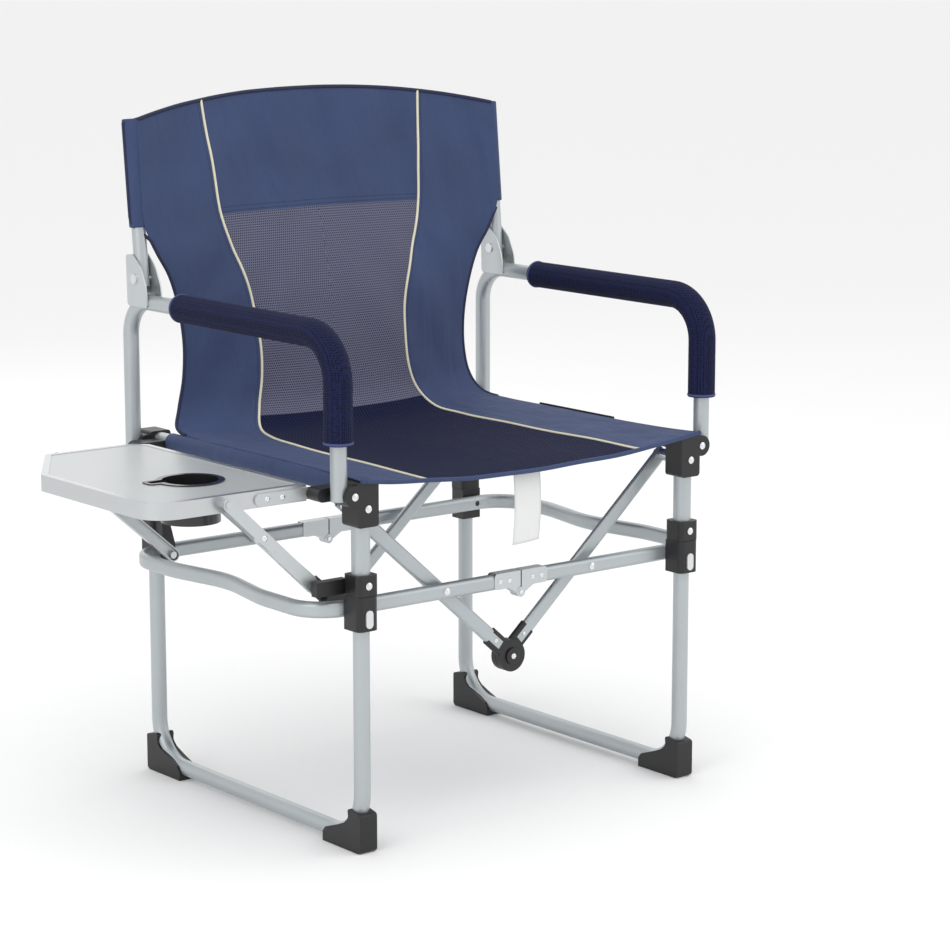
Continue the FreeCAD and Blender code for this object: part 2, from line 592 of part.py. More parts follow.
def table():
    """The side table: board, rim, cup holder and the straps that hinge it."""
    edge = {"in": "-halfWidth-tableInner", "out": "-halfWidth-tableOuter",
            "front": "-tableFront", "rear": "tableRear"}

    def outline(less):
        bevel = f"({less})*0.5"
        return [(f"{edge['in']}-({less})", f"{edge['front']}+({less})"),
                (f"{edge['out']}+({less})", f"{edge['front']}+({less})"),
                (f"{edge['out']}+({less})", f"{edge['rear']}-tableChamferY-{bevel}"),
                (f"{edge['out']}+tableChamferX+{bevel}", f"{edge['rear']}-({less})"),
                (f"{edge['in']}-24-{bevel}", f"{edge['rear']}-({less})"),
                (f"{edge['in']}-({less})", f"{edge['rear']}-20-{bevel}")]

    middle = "tableTop-tableThick/2"
    rim = plate("XY", outline("0"), "tableThick", middle, rounded=[("tableBend", (1,)), ("8", (2, 3))])
    core = plate("XY", outline("trimWide"), "tableThick", middle,
                 rounded=[("tableBend-trimWide", (1,)), ("5", (2, 3))])
    ledge = plate("XY", outline("3"), "boardThick", "tableTop-boardThick/2-0.8",
                  rounded=[("tableBend-3", (1,)), ("6", (2, 3))])
    keep("table_rim", cut(rim, core, ledge))
    board = plate("XY", outline("3"), "boardThick", "tableTop-boardThick/2-0.8",
                  rounded=[("tableBend-3", (1,)), ("6", (2, 3))])
    x, y = "-halfWidth-cupOutset", "-cupPlace"
    well = cylinder((x, y, "tableTop"), "cupRadius+cupWall", "4*boardThick", "z")
    slot = plate("XY", handle_slot(x, y, 0), "4*boardThick", "tableTop", rounded=[("5", (0, 3))])
    keep("table_board", cut(board, well, slot))
    keep("cup_holder", cup_holder(x, y))
    table_straps()


def cup_holder(x, y):
    """A round cup with a mouth slot beside it for a mug's handle."""
    outer = cylinder((x, y, "tableTop-cupDeep/2"), "cupRadius+cupWall", "cupDeep", "z")
    flange = cylinder((x, y, "tableTop"), "cupRadius+cupWall+cupFlange", "1.6", "z")
    hollow = cylinder((x, y, "tableTop-cupDeep/2+2+5"), "cupRadius", "cupDeep+10", "z")
    drains = [cylinder((f"{x}+{round(18 * math.cos(k * math.pi / 2), 3)}",
                        f"{y}+{round(18 * math.sin(k * math.pi / 2), 3)}", "tableTop-cupDeep+1"), "4", "6", "z")
              for k in range(4)]
    tab = plate("XY", handle_slot(x, y, 3), "1.6", "tableTop", rounded=[("7", (0, 3))])
    tray = plate("XY", handle_slot(x, y, -0.3), "14", "tableTop-7", rounded=[("4.7", (0, 3))])
    gap = plate("XY", handle_slot(x, y, -2.4), "16", "tableTop-4", rounded=[("3", (0, 3))])
    return cut(fuse(outer, flange, tab, tray), hollow, gap, *drains)


def handle_slot(x, y, grow):
    """The outline of the mug handle's slot, grown on every side."""
    return [(f"{x}-cupRadius-20-({grow})", f"{y}+4-({grow})"), (x, f"{y}-2-({grow})"),
            (x, f"{y}+24+({grow})"), (f"{x}-cupRadius-20-({grow})", f"{y}+22+({grow})")]


def table_straps():
    """Straps on the table's ends, turning on pins that black knuckles hold on the top brackets."""
    straps, knuckles = [], []
    x, z = "-halfWidth-tableHingeOutset", "tableHingeHeight"
    for end, e in ENDS.items():
        edge = "tableFront" if e < 0 else "tableRear"
        outline = [(f"{x}-88", f"{z}-7.5"), (f"{x}+8", f"{z}-7.5"),
                   (f"{x}+8", f"{z}+8"), (f"{x}-88", f"{z}+8")]
        straps.append(plate("XZ", outline, "3", mirrored(f"{edge}+1.5", e), rounded=[("7.4", (0, 1, 2, 3))],
                            holes=[(x, z, "tablePinRadius+pinGap")]))
        inner, outer = f"{edge}+3.4", "halfDepth-collarHalfDeep"
        arm = block((f"{x}-2", mirrored(outer if e < 0 else inner, e), f"{z}-9"),
                    ("-halfWidth-seatRailRadius-1.5", mirrored(inner if e < 0 else outer, e), f"{z}+9"))
        nose = cylinder((x, mirrored(f"({inner}+{outer})/2", e), z), "9", f"({outer})-({inner})")
        pin = cylinder((x, mirrored(f"(({outer})+{edge}-4)/2", e), z), "tablePinRadius",
                       f"({outer})-({edge})+4")
        head = cylinder((x, mirrored(f"{edge}-3", e), z), "5", "2")
        knuckles.append(fuse(cut(fuse(arm, nose), seat_rail_bar(-1)), pin, head))
    keep("table_straps", group(*straps))
    keep("table_knuckles", group(*knuckles))


def strut_ends(end):
    """A strut's top and bottom pins and the joint between its two links."""
    top = V(-size("halfWidth+strutTopOutset"), 0, size("strutTopHeight"))
    foot = V(-size(f"halfWidth+{end}LugOutset"), 0, size(f"{end}LugHeight"))
    joint = top + (foot - top) * size("strutSplit")
    return top, joint, foot


def strut(end, e):
    """A flat link on the table's end and a channel on the leg's lug."""
    top, joint, foot = strut_ends(end)
    edge = size("tableFront") if e < 0 else size("tableRear")
    outside = e < 0
    channel_y = edge + 3.5 + size("channelDeep") / 2
    link_y = edge + 3.5 + size("channelDeep") + 0.3 + size("linkThick") / 2
    past_joint = joint + (joint - top).normalize() * 16
    link = bar_with_ends(top, past_joint, size("linkWide"), size("linkThick"), e * link_y)
    boss = rod_between(top, e * edge, e * (link_y - 1), 5)
    head = rod_between(top, e * (link_y + 1), e * (link_y + 2.4), 5.5)
    keep(f"strut_link_{end}", fuse(link, boss, head))
    shell = bar_with_ends(joint, foot, size("channelWide"), size("channelDeep"), e * channel_y)
    wall = size("channelWall")
    hollow = bar_with_ends(joint, foot, size("channelWide") - 2 * wall, size("channelDeep"),
                           e * (channel_y - wall))
    pin_hole = rod_between(foot, e * (edge - 5), e * (edge + 40), size("strutPin") + size("pinGap"))
    keep(f"strut_channel_{end}", cut(shell, hollow, pin_hole))
    lug_face = edge + (16.5 if outside else 15.2)
    pin = rod_between(foot, e * (edge + 5.5), e * lug_face, size("strutPin"))
    rivet = rod_between(foot, e * (edge + 4.5), e * (edge + 3.5 + size("channelDeep") - wall - 0.3), 5)
    return fuse(pin, rivet)


def bar_with_ends(first, last, width, thick, y):
    """A flat bar in the XZ plane with a round end about each of two points."""
    along = (last - first).normalize()
    side = V(-along.z, 0, along.x) * (width / 2)
    tip, tail = first - along * (width / 2), last + along * (width / 2)
    lift = V(0, y - thick / 2, 0)
    outline = Part.Wire([
        Part.LineSegment(first + side + lift, last + side + lift).toShape(),
        Part.Arc(last + side + lift, tail + lift, last - side + lift).toShape(),
        Part.LineSegment(last - side + lift, first - side + lift).toShape(),
        Part.Arc(first - side + lift, tip + lift, first + side + lift).toShape()])
    bar = doc.addObject("Part::Feature", "Bar")
    bar.Shape = Part.Face(outline).extrude(V(0, thick, 0))
    return bar


def rod_between(place, y_from, y_to, radius):
    """A rod along Y through a point."""
    rod = doc.addObject("Part::Feature", "Rod")
    low, high = sorted((y_from, y_to))
    rod.Shape = Part.makeCylinder(radius, high - low, V(place.x, low, place.z), V(0, 1, 0))
    return rod


def soft_parts():
    """Plain closed solids where the seat, the back, the label and the carry handle are."""
    half, deep = "slingHalfWidth", "halfDepth-12"
    seat = [(f"-{half}", f"-({deep})"), (half, f"-({deep})"), (half, "backLow-4"), (f"-{half}", "backLow-4")]
    keep("sling_seat", plate("XY", seat, "slingThick", "slingTop-slingThick/2", rounded=[("12", (0, 1))]))
    low = [("-slingHalfWidth+8", "backBottom"), ("slingHalfWidth-8", "backBottom"), ("waistHalf", "600"),
           ("waistHalf+10", "backSplit-1"), ("-waistHalf-10", "backSplit-1"), ("-waistHalf", "600")]
    keep("sling_back_lower", plate("XZ", low, "slingThick", "backLow-8", rounded=[("60", (2, 5))]))
    high = [("-waistHalf-10", "backSplit+1"), ("waistHalf+10", "backSplit+1"), ("panelHalf", "backSplit+72"),
            ("panelHalf", "panelTop-30"), ("waistHalf-10", "panelTop-4"), ("0", "panelTop"),
            ("-waistHalf+10", "panelTop-4"), ("-panelHalf", "panelTop-30"), ("-panelHalf", "backSplit+72")]
    keep("sling_back_upper", plate("XZ", high, "slingThick", "backLow-5", rounded=[("20", (3, 7))]))
    label = [("-24", "slingTop-slingThick-104"), ("24", "slingTop-slingThick-104"),
             ("24", "slingTop-slingThick-1"), ("-24", "slingTop-slingThick-1")]
    keep("care_label", plate("XZ", label, "1", "-halfDepth+4", rounded=[("2", (0, 1))]))
    carry_handle()


def carry_handle():
    """A webbing handle on the sitter's left seat rail, lying flat along its outer side."""
    loops = []
    for y in (-70, 70):
        ring = cylinder(("halfWidth", str(y), "seatRailHeight"), "seatRailRadius+2.2", "26")
        loops.append(cut(ring, cylinder(("halfWidth", str(y), "seatRailHeight"), "seatRailRadius", "40")))
    band = block(("halfWidth+seatRailRadius+2.3", "-83", "seatRailHeight-12.5"),
                 ("halfWidth+seatRailRadius+4.5", "83", "seatRailHeight+12.5"))
    keep("carry_handle", group(*loops, band))


def frame_pins(side, s):
    """The pins and rivet heads that stay with one side's leg frame."""
    places = []
    for e in ENDS.values():
        facing = "-y" if e < 0 else "+y"
        face = mirrored("halfDepth+collarHalfDeep", e)
        places += [(mirrored("halfWidth", s), face, "braceTopHeight", facing),
                   (mirrored("halfWidth+hubOutset", s), face, "hubHeight", facing),
                   (mirrored("halfWidth", s), face, "(collarBottom+collarTop)/2", facing)]
    heads = [cut(head, block(*inner_box(head))) for head in rivets(places)]
    struts = [strut(end, e) for end, e in ENDS.items()] if side == "right" else []
    keep(f"frame_pins_{side}", group(*heads, *brace_pins(s), back_pin(s), *struts))


def inner_box(head):
    """The half space inside a fitting, which a rivet head doesn't enter."""
    face = size("halfDepth+collarHalfDeep")
    box = head.Base.Shape.BoundBox
    low, high = (-face, -face + 20) if box.Center.y < 0 else (face - 20, face)
    return ((str(box.XMin - 1), str(low), str(box.ZMin - 1)),
            (str(box.XMax + 1), str(high), str(box.ZMax + 1)))


def main():
    """Build every sub-part, check it and write its file."""
    for side, s in SIDES.items():
        leg_frame(side, s)
        seat_rail(side, s)
        arm(side, s)
        back_hinge(side, s)
        back_post(side, s)
        for end, e in ENDS.items():
            clamp(side, end, s, e)
        clamp_caps(side, s)
        cross_frame(side, s)
        cross_rivets(side, s)
        braces(side, s)
        frame_pins(side, s)
    table()
    soft_parts()
    doc.recompute()
    failed = [o.Label for o in doc.Objects if "Invalid" in o.State or "Error" in o.State]
    failed += [label for label, part in parts.items() if part.Shape.isNull() or not part.Shape.isValid()]
    if failed:
        raise SystemExit(f"not built: {failed}")
    os.makedirs("parts", exist_ok=True)
    for old in os.listdir("parts"):
        os.remove(os.path.join("parts", old))
    for label, part in parts.items():
        part.Shape.exportStep(os.path.join("parts", f"{label}.step"))
        print(f"{label}: {len(part.Shape.Solids)} solids, {part.Shape.Volume / 1000:.1f} cm3")
    print(len(parts), "sub-parts")


main()
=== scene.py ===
"""A folding director chair with a side table: its cloth, trims, finishes and lights."""

import json
import math

import bpy
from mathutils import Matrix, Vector


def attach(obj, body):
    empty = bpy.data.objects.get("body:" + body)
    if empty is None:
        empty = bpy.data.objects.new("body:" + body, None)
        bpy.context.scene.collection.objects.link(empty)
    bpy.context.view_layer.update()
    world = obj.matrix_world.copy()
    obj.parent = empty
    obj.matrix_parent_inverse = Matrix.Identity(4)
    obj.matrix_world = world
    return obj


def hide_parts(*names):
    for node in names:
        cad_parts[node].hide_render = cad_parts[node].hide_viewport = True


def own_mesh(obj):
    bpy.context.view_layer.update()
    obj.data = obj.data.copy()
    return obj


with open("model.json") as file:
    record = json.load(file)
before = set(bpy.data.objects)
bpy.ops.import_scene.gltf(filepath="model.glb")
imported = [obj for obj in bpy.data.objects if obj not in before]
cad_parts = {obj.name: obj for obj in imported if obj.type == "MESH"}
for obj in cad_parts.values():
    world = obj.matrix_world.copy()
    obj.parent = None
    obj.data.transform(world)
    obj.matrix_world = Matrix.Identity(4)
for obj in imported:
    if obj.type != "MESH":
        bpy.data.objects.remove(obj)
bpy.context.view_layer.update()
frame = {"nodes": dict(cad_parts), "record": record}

# The chair's own measures, in metres. Right is the table's side, at -X.
HALF_WIDTH, HALF_DEPTH, ARM_X = 0.280, 0.245, 0.314
RAIL_Z, RAIL_SLEEVE = 0.484, 0.0122
RAIL_SLEEVE_START, RAIL_SLEEVE_LENGTH = -0.2285, 0.428
POST_FOOT, POST_LEAN, POST_SLEEVE = (0.213, 0.715), math.radians(5.5), 0.0128
POST_SLEEVE_START, POST_SLEEVE_LENGTH = 0.070, 0.149
TOP_HEM_Z, EDGE_STEP, EDGE_STEPS = 0.928, 0.0175, 9
CLOTH_THICK, LABEL_THICK = 0.0016, 0.0005
LABEL_WIDE, LABEL_TALL, LABEL_TOP_Z, LABEL_Y = 0.046, 0.100, 0.4765, -0.2410
SIDES = (("right", -1), ("left", 1))
ENDS = (("front", -1), ("rear", 1))

# The bottom hinge's height, how far in from the corner legs each side's braces stand, and their rise.
FOOT_Z, BRACE_INSET, BRACE_RISE = 0.213, {"right": 0.0375, "left": 0.0473}, 247 / 280


# ---------------------------------------------------------------- finishes

def finish_named(name, colour, rough, metal=0.0, coat=0.0, sheen=0.0, shine=0.5):
    """A new material with its plain numbers set on the shader's own sockets."""
    paint = bpy.data.materials.new(name)
    paint.use_nodes = True
    shader = paint.node_tree.nodes["Principled BSDF"]
    shader.inputs["Base Color"].default_value = (*colour, 1)
    shader.inputs["Roughness"].default_value = rough
    shader.inputs["Metallic"].default_value = metal
    shader.inputs["Coat Weight"].default_value = coat
    shader.inputs["Coat Roughness"].default_value = 0.2
    shader.inputs["Specular IOR Level"].default_value = shine
    shader.inputs["Sheen Weight"].default_value = sheen
    shader.inputs["Sheen Roughness"].default_value = 0.5
    return paint, paint.node_tree, shader


def node(tree, kind, inputs=None, **settings):
    """A node with its settings and inputs; an input may be another node's output."""
    made = tree.nodes.new(kind)
    for key, value in settings.items():
        setattr(made, key, value)
    for key, value in (inputs or {}).items():
        if isinstance(value, bpy.types.NodeSocket):
            tree.links.new(value, made.inputs[key])
        else:
            made.inputs[key].default_value = value
    return made


def number(tree, operation, *values):
    """A math node's result."""
    return node(tree, "ShaderNodeMath", dict(enumerate(values)), operation=operation).outputs[0]


def colour_between(tree, share, low, high):
    """A colour between two others by a share from 0 to 1."""
    mix = node(tree, "ShaderNodeMix", {0: share, 6: (*low, 1), 7: (*high, 1)}, data_type="RGBA")
    return mix.outputs[2]


def grain(tree, scale, detail=3.0):
    """Fine noise laid on the piece."""
    spots = node(tree, "ShaderNodeTexCoord")
    noise = node(tree, "ShaderNodeTexNoise",
                 {"Vector": spots.outputs["Object"], "Scale": scale, "Detail": detail})
    return noise.outputs["Fac"]


def relief(tree, shader, height, strength, distance):
    """Small relief on the surface."""
    bump = node(tree, "ShaderNodeBump", {"Height": height, "Strength": strength, "Distance": distance})
    tree.links.new(bump.outputs["Normal"], shader.inputs["Normal"])


def speckled(name, colour, rough, metal=0.0, coat=0.0, scale=900.0, strength=0.12, spread=0.06):
    """A hard finish with a little unevenness in colour, gloss and relief."""
    paint, tree, shader = finish_named(name, colour, rough, metal, coat)
    fine = grain(tree, scale)
    broad = grain(tree, 14.0)
    darker = tuple(c * (1 - spread) for c in colour)
    tree.links.new(colour_between(tree, broad, darker, tuple(min(1, c * (1 + spread)) for c in colour)),
                   shader.inputs["Base Color"])
    gloss = node(tree, "ShaderNodeMapRange", {"Value": broad, "To Min": rough * 0.85, "To Max": rough * 1.2})
    tree.links.new(gloss.outputs[0], shader.inputs["Roughness"])
    relief(tree, shader, fine, strength, 0.0002)
    return paint


def threads(tree, across, along, pitch):
    """Two outputs from 0 to 1 that rise and fall once for each thread across and along."""
    weft = number(tree, "SINE", number(tree, "MULTIPLY", along, 2 * math.pi / pitch))
    warp = number(tree, "SINE", number(tree, "MULTIPLY", across, 2 * math.pi / pitch))
    return (number(tree, "MULTIPLY_ADD", weft, 0.5, 0.5), number(tree, "MULTIPLY_ADD", warp, 0.5, 0.5))


def along_cloth(tree):
    """The cloth's own two directions, in metres: away from the piped seam, and down the cloth."""
    spots = node(tree, "ShaderNodeTexCoord")
    parts = node(tree, "ShaderNodeSeparateXYZ", {0: spots.outputs["UV"]})
    return parts.outputs["X"], parts.outputs["Y"]


def within(tree, value, middle, half):
    """1 where a value is within half of the middle, else 0."""
    return number(tree, "COMPARE", value, middle, half)


THREAD_PITCH = 0.0016
STITCH_LENGTH, STITCH_GAP, STITCH_HALF = 0.0042, 0.3, 0.0005
SEAM_STITCH, HEM_STITCHES = 0.0062, (-0.0035, -0.0095)


def dashes(tree, run):
    """1 on each stitch of a sewn line, 0 between the stitches."""
    step = number(tree, "FRACT", number(tree, "DIVIDE", run, STITCH_LENGTH))
    return number(tree, "GREATER_THAN", step, STITCH_GAP)


def woven_cloth():
    """Navy plain-weave polyester with stitch lines beside its seams."""
    paint, tree, shader = finish_named("navy_oxford", (0.045, 0.068, 0.17), 0.72, sheen=0.08, shine=0.3)
    shader.inputs["Sheen Tint"].default_value = (0.6, 0.68, 1.0, 1)
    across, along = along_cloth(tree)
    weft, warp = threads(tree, across, along, THREAD_PITCH)
    weave = number(tree, "MULTIPLY", weft, warp)
    broad = grain(tree, 9.0, 4.0)
    slub = grain(tree, 260.0, 2.0)
    tone = number(tree, "MULTIPLY_ADD", weave, 0.35, number(tree, "MULTIPLY_ADD", broad, 0.5, 0.06))
    tone = number(tree, "ADD", tone, number(tree, "MULTIPLY", slub, 0.14))
    ground = colour_between(tree, tone, (0.020, 0.032, 0.082), (0.056, 0.088, 0.200))
    beside = number(tree, "MULTIPLY", within(tree, across, SEAM_STITCH, STITCH_HALF), dashes(tree, along))
    lines = number(tree, "ADD", *(within(tree, along, row, STITCH_HALF) for row in HEM_STITCHES))
    below = number(tree, "MULTIPLY", number(tree, "MULTIPLY", lines, dashes(tree, across)),
                   number(tree, "LESS_THAN", across, 0.0))
    stitch = number(tree, "MAXIMUM", beside, below)
    mix = node(tree, "ShaderNodeMix", {0: stitch, 6: ground, 7: (0.012, 0.018, 0.055, 1)}, data_type="RGBA")
    tree.links.new(mix.outputs[2], shader.inputs["Base Color"])
    spots = node(tree, "ShaderNodeTexCoord")
    drawn = node(tree, "ShaderNodeMapping", {"Vector": spots.outputs["Object"], "Scale": (1.0, 0.55, 0.3)})
    crumple = node(tree, "ShaderNodeTexNoise", {"Vector": drawn.outputs[0], "Scale": 26.0, "Detail": 3.0,
                                                "Roughness": 0.45, "Distortion": 0.6})
    wide = node(tree, "ShaderNodeBump", {"Height": crumple.outputs["Fac"], "Strength": 0.55,
                                         "Distance": 0.012})
    height = number(tree, "SUBTRACT", weave, number(tree, "MULTIPLY", stitch, 1.5))
    fine = node(tree, "ShaderNodeBump", {"Height": height, "Strength": 0.35, "Distance": 0.0004,
                                         "Normal": wide.outputs["Normal"]})
    tree.links.new(fine.outputs["Normal"], shader.inputs["Normal"])
    return paint


def back_mesh():
    """Fine grey-violet netting over a dark backing."""
    paint, tree, shader = finish_named("back_netting", (0.12, 0.12, 0.17), 0.75, sheen=0.1, shine=0.2)
    across, along = along_cloth(tree)
    cell = 0.0036
    rows = number(tree, "DIVIDE", along, cell)
    odd = number(tree, "MULTIPLY", number(tree, "MODULO", number(tree, "FLOOR", rows), 2.0), 0.5)
    column = number(tree, "ADD", number(tree, "DIVIDE", across, cell), odd)
    dx = number(tree, "SUBTRACT", number(tree, "FRACT", number(tree, "ADD", column, 100.0)), 0.5)
    dy = number(tree, "SUBTRACT", number(tree, "FRACT", number(tree, "ADD", rows, 100.0)), 0.5)
    away = number(tree, "SQRT", number(tree, "ADD", number(tree, "MULTIPLY", dx, dx),
                                       number(tree, "MULTIPLY", dy, dy)))
    yarn = node(tree, "ShaderNodeMapRange", {"Value": away, "From Min": 0.22, "From Max": 0.4}).outputs[0]
    tree.links.new(colour_between(tree, yarn, (0.010, 0.011, 0.026), (0.135, 0.140, 0.215)),
                   shader.inputs["Base Color"])
    relief(tree, shader, yarn, 0.6, 0.0006)
    return paint


def ribbed_mesh(name, low, high, pitch=0.0052):
    """Thick knitted netting with slanting ribs."""
    paint, tree, shader = finish_named(name, high, 0.85, sheen=0.03, shine=0.12)
    across, along = along_cloth(tree)
    slant = number(tree, "ADD", across, number(tree, "MULTIPLY", along, 0.5))
    rib, stitch = threads(tree, along, slant, pitch)
    knit = number(tree, "MULTIPLY", number(tree, "POWER", rib, 0.7),
                  number(tree, "MULTIPLY_ADD", stitch, 0.5, 0.5))
    tree.links.new(colour_between(tree, knit, low, high), shader.inputs["Base Color"])
    relief(tree, shader, knit, 0.8, 0.0012)
    return paint


def knitted_grip():
    """Navy spacer mesh on the arm pads, laid by the pad's own place."""
    paint, tree, shader = finish_named("grip_knit", (0.012, 0.015, 0.05), 0.9, sheen=0.03, shine=0.12)
    spots = node(tree, "ShaderNodeTexCoord")
    cells = node(tree, "ShaderNodeTexVoronoi", {"Vector": spots.outputs["Object"], "Scale": 330.0,
                                                "Randomness": 0.25}, feature="F1")
    knit = node(tree, "ShaderNodeMapRange", {"Value": cells.outputs["Distance"], "From Min": 0.15,
                                             "From Max": 0.55}).outputs[0]
    tree.links.new(colour_between(tree, knit, (0.002, 0.0025, 0.010), (0.013, 0.016, 0.055)),
                   shader.inputs["Base Color"])
    relief(tree, shader, knit, 0.8, 0.0010)
    return paint


def brushed(name, colour, rough, stretch):
    """Metal with fine brush lines in one direction."""
    paint, tree, shader = finish_named(name, colour, rough, 0.9)
    spots = node(tree, "ShaderNodeTexCoord")
    laid = node(tree, "ShaderNodeMapping", {"Vector": spots.outputs["Object"], "Scale": stretch})
    lines = node(tree, "ShaderNodeTexNoise", {"Vector": laid.outputs[0], "Scale": 60.0, "Detail": 4.0})
    tree.links.new(colour_between(tree, lines.outputs["Fac"], tuple(c * 0.86 for c in colour), colour),
                   shader.inputs["Base Color"])
    relief(tree, shader, lines.outputs["Fac"], 0.08, 0.0002)
    return paint


FINISHES = {
    "frame_paint": speckled("silver_tube_paint", (0.44, 0.475, 0.49), 0.36, 0.6, 0.1, 1400.0, 0.05),
    "black_plastic": speckled("black_moulding", (0.009, 0.009, 0.010), 0.4, 0.0, 0.0, 1600.0, 0.2),
    "rivet_steel": speckled("bright_rivet", (0.74, 0.75, 0.77), 0.22, 1.0, 0.0, 600.0, 0.04),
    "bracket_steel": speckled("zinc_sheet", (0.54, 0.57, 0.58), 0.36, 0.75, 0.0, 900.0, 0.08),
    "cap_silver": speckled("silver_button", (0.66, 0.67, 0.68), 0.32, 0.4, 0.2, 900.0, 0.04),
    "foam_grip": knitted_grip(),
    "rim_aluminium": brushed("table_edge_metal", (0.60, 0.62, 0.63), 0.34, (1, 1, 40)),
    "board_silver": speckled("table_top_sheet", (0.50, 0.52, 0.52), 0.42, 0.3, 0.15, 1800.0, 0.08, 0.03),
    "cup_plastic": speckled("cup_moulding", (0.012, 0.012, 0.013), 0.25, 0.0, 0.3, 900.0, 0.05),
    "sling_fabric": woven_cloth(),
    "label_white": speckled("satin_tape", (0.74, 0.75, 0.74), 0.6, 0.0, 0.0, 1500.0, 0.2, 0.02),
    "webbing_black": speckled("black_webbing", (0.012, 0.012, 0.016), 0.8, 0.0, 0.0, 500.0, 0.6),
}
NETTING = back_mesh()
SEAT_MESH = ribbed_mesh("seat_knit", (0.002, 0.003, 0.012), (0.013, 0.018, 0.075))
BINDING = speckled("dark_binding", (0.014, 0.019, 0.055), 0.8, 0.0, 0.0, 700.0, 0.5)
PIPING = speckled("cream_piping", (0.72, 0.68, 0.52), 0.7, 0.0, 0.0, 900.0, 0.4)
GRIP_HEM = speckled("grip_hem", (0.05, 0.062, 0.17), 0.8, 0.0, 0.0, 700.0, 0.5)

for part in frame["record"]["subparts"]:
    held = frame["nodes"][part["node"]].data.materials
    held.clear()
    held.append(FINISHES[part["material_slot"]])


# ---------------------------------------------------------------- helpers for new pieces

def clear_choice():
    """Nothing is selected and no mode is open."""
    if bpy.context.object and bpy.context.object.mode != "OBJECT":
        bpy.ops.object.mode_set(mode="OBJECT")
    bpy.ops.object.select_all(action="DESELECT")


def pick(piece):
    """Only this piece is selected, and active."""
    clear_choice()
    piece.select_set(True)
    bpy.context.view_layer.objects.active = piece


def named(name, material):
    """Name the piece just added, settle its place in its mesh and give it its finish."""
    piece = bpy.context.object
    piece.name = name
    pick(piece)
    bpy.ops.object.transform_apply(location=True, rotation=True, scale=True)
    piece.data.materials.clear()
    piece.data.materials.append(material)
    bpy.ops.object.shade_smooth_by_angle(angle=math.radians(40))
    return piece


def cord_piece(name, line, radius, material, body):
    """A thin round trim that follows a line of points."""
    clear_choice()
    bpy.ops.curve.primitive_nurbs_path_add()
    trim = bpy.context.object
    trim.data.splines.clear()
    run = trim.data.splines.new("NURBS")
    run.points.add(len(line) - 1)
    for spot, place in zip(run.points, line):
        spot.co = (*place, 1)
    run.order_u, run.use_endpoint_u = 3, True
    run.resolution_u = 2
    trim.data.bevel_depth, trim.data.bevel_resolution, trim.data.use_fill_caps = radius, 3, True
    bpy.ops.object.convert(target="MESH")
    piece = named(name, material)
    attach(piece, body)
    return piece


# ---------------------------------------------------------------- the sling's shape

# Stations down the cloth, from the top hem to the front hem: the middle's y and z, the edge's y and z,
# half the width, and the piped seam's share of that width.
STATIONS = (
    (0.262, 0.964, 0.2215, 0.932, 0.3135, 0.61),
    (0.254, 0.905, 0.2165, 0.884, 0.3140, 0.595),
    (0.244, 0.848, 0.2120, 0.838, 0.3140, 0.575),
    (0.233, 0.795, 0.2075, 0.790, 0.3125, 0.56),
    (0.222, 0.752, 0.2060, 0.750, 0.2940, 0.555),
    (0.213, 0.716, 0.2080, 0.716, 0.2730, 0.55),
    (0.203, 0.670, 0.2095, 0.672, 0.2580, 0.53),
    (0.196, 0.615, 0.2110, 0.620, 0.2490, 0.52),
    (0.190, 0.562, 0.2120, 0.570, 0.2500, 0.52),
    (0.178, 0.520, 0.2100, 0.528, 0.2600, 0.54),
    (0.148, 0.492, 0.1930, 0.502, 0.2740, 0.57),
    (0.100, 0.484, 0.1400, 0.4965, 0.2800, 0.60),
    (0.035, 0.481, 0.0600, 0.4965, 0.2800, 0.62),
    (-0.045, 0.480, -0.0300, 0.4965, 0.2800, 0.63),
    (-0.130, 0.480, -0.1250, 0.4965, 0.2810, 0.64),
    (-0.205, 0.480, -0.2060, 0.4972, 0.2850, 0.64),
    (-0.258, 0.478, -0.2660, 0.4985, 0.2930, 0.63),
)
TOP_PANEL_END, HINGE_ROW, SEAT_START, BINDING_END, LAST_ROW = 3.0, 5.0, 9.4, 10.6, 16.0
SEAM_COLUMN = 0.6


def smooth_station(down):
    """All six numbers at a place down the cloth, by a smooth curve through the stations."""
    k = min(int(down), len(STATIONS) - 2)
    f = down - k
    p0, p1 = STATIONS[max(k - 1, 0)], STATIONS[k]
    p2, p3 = STATIONS[k + 1], STATIONS[min(k + 2, len(STATIONS) - 1)]
    return [0.5 * (2 * b + (c - a) * f + (2 * a - 5 * b + 4 * c - d) * f * f
                   + (3 * b - a - 3 * c + d) * f ** 3)
            for a, b, c, d in zip(p0, p1, p2, p3)]


def creases(x, down):
    """Small soft folds: upright ones in the top panel, slanting pulls at the waist, sag in the seat."""
    upper = max(0.0, 1 - abs(down - 1.4) / 2.2)
    folds = 0.0030 * upper * (math.sin(x * 47 + 0.6 + 0.3 * down) + 0.6 * math.sin(x * 103 - down * 0.9)
                              + 0.35 * math.sin(x * 29 + down * 2.4))
    waist = max(0.0, 1 - abs(down - 6.5) / 3.5) * min(1.0, abs(x) / 0.18)
    pulls = 0.0030 * waist * math.sin(abs(x) * 62 - down * 2.1 + (0.8 if x > 0 else 0.0))
    seat = max(0.0, min(1.0, (down - 10.0) / 2))
    ripples = 0.0009 * seat * math.sin(x * 37 + down * 1.3) * math.cos(down * 1.7 + x * 11)
    return folds + pulls + ripples


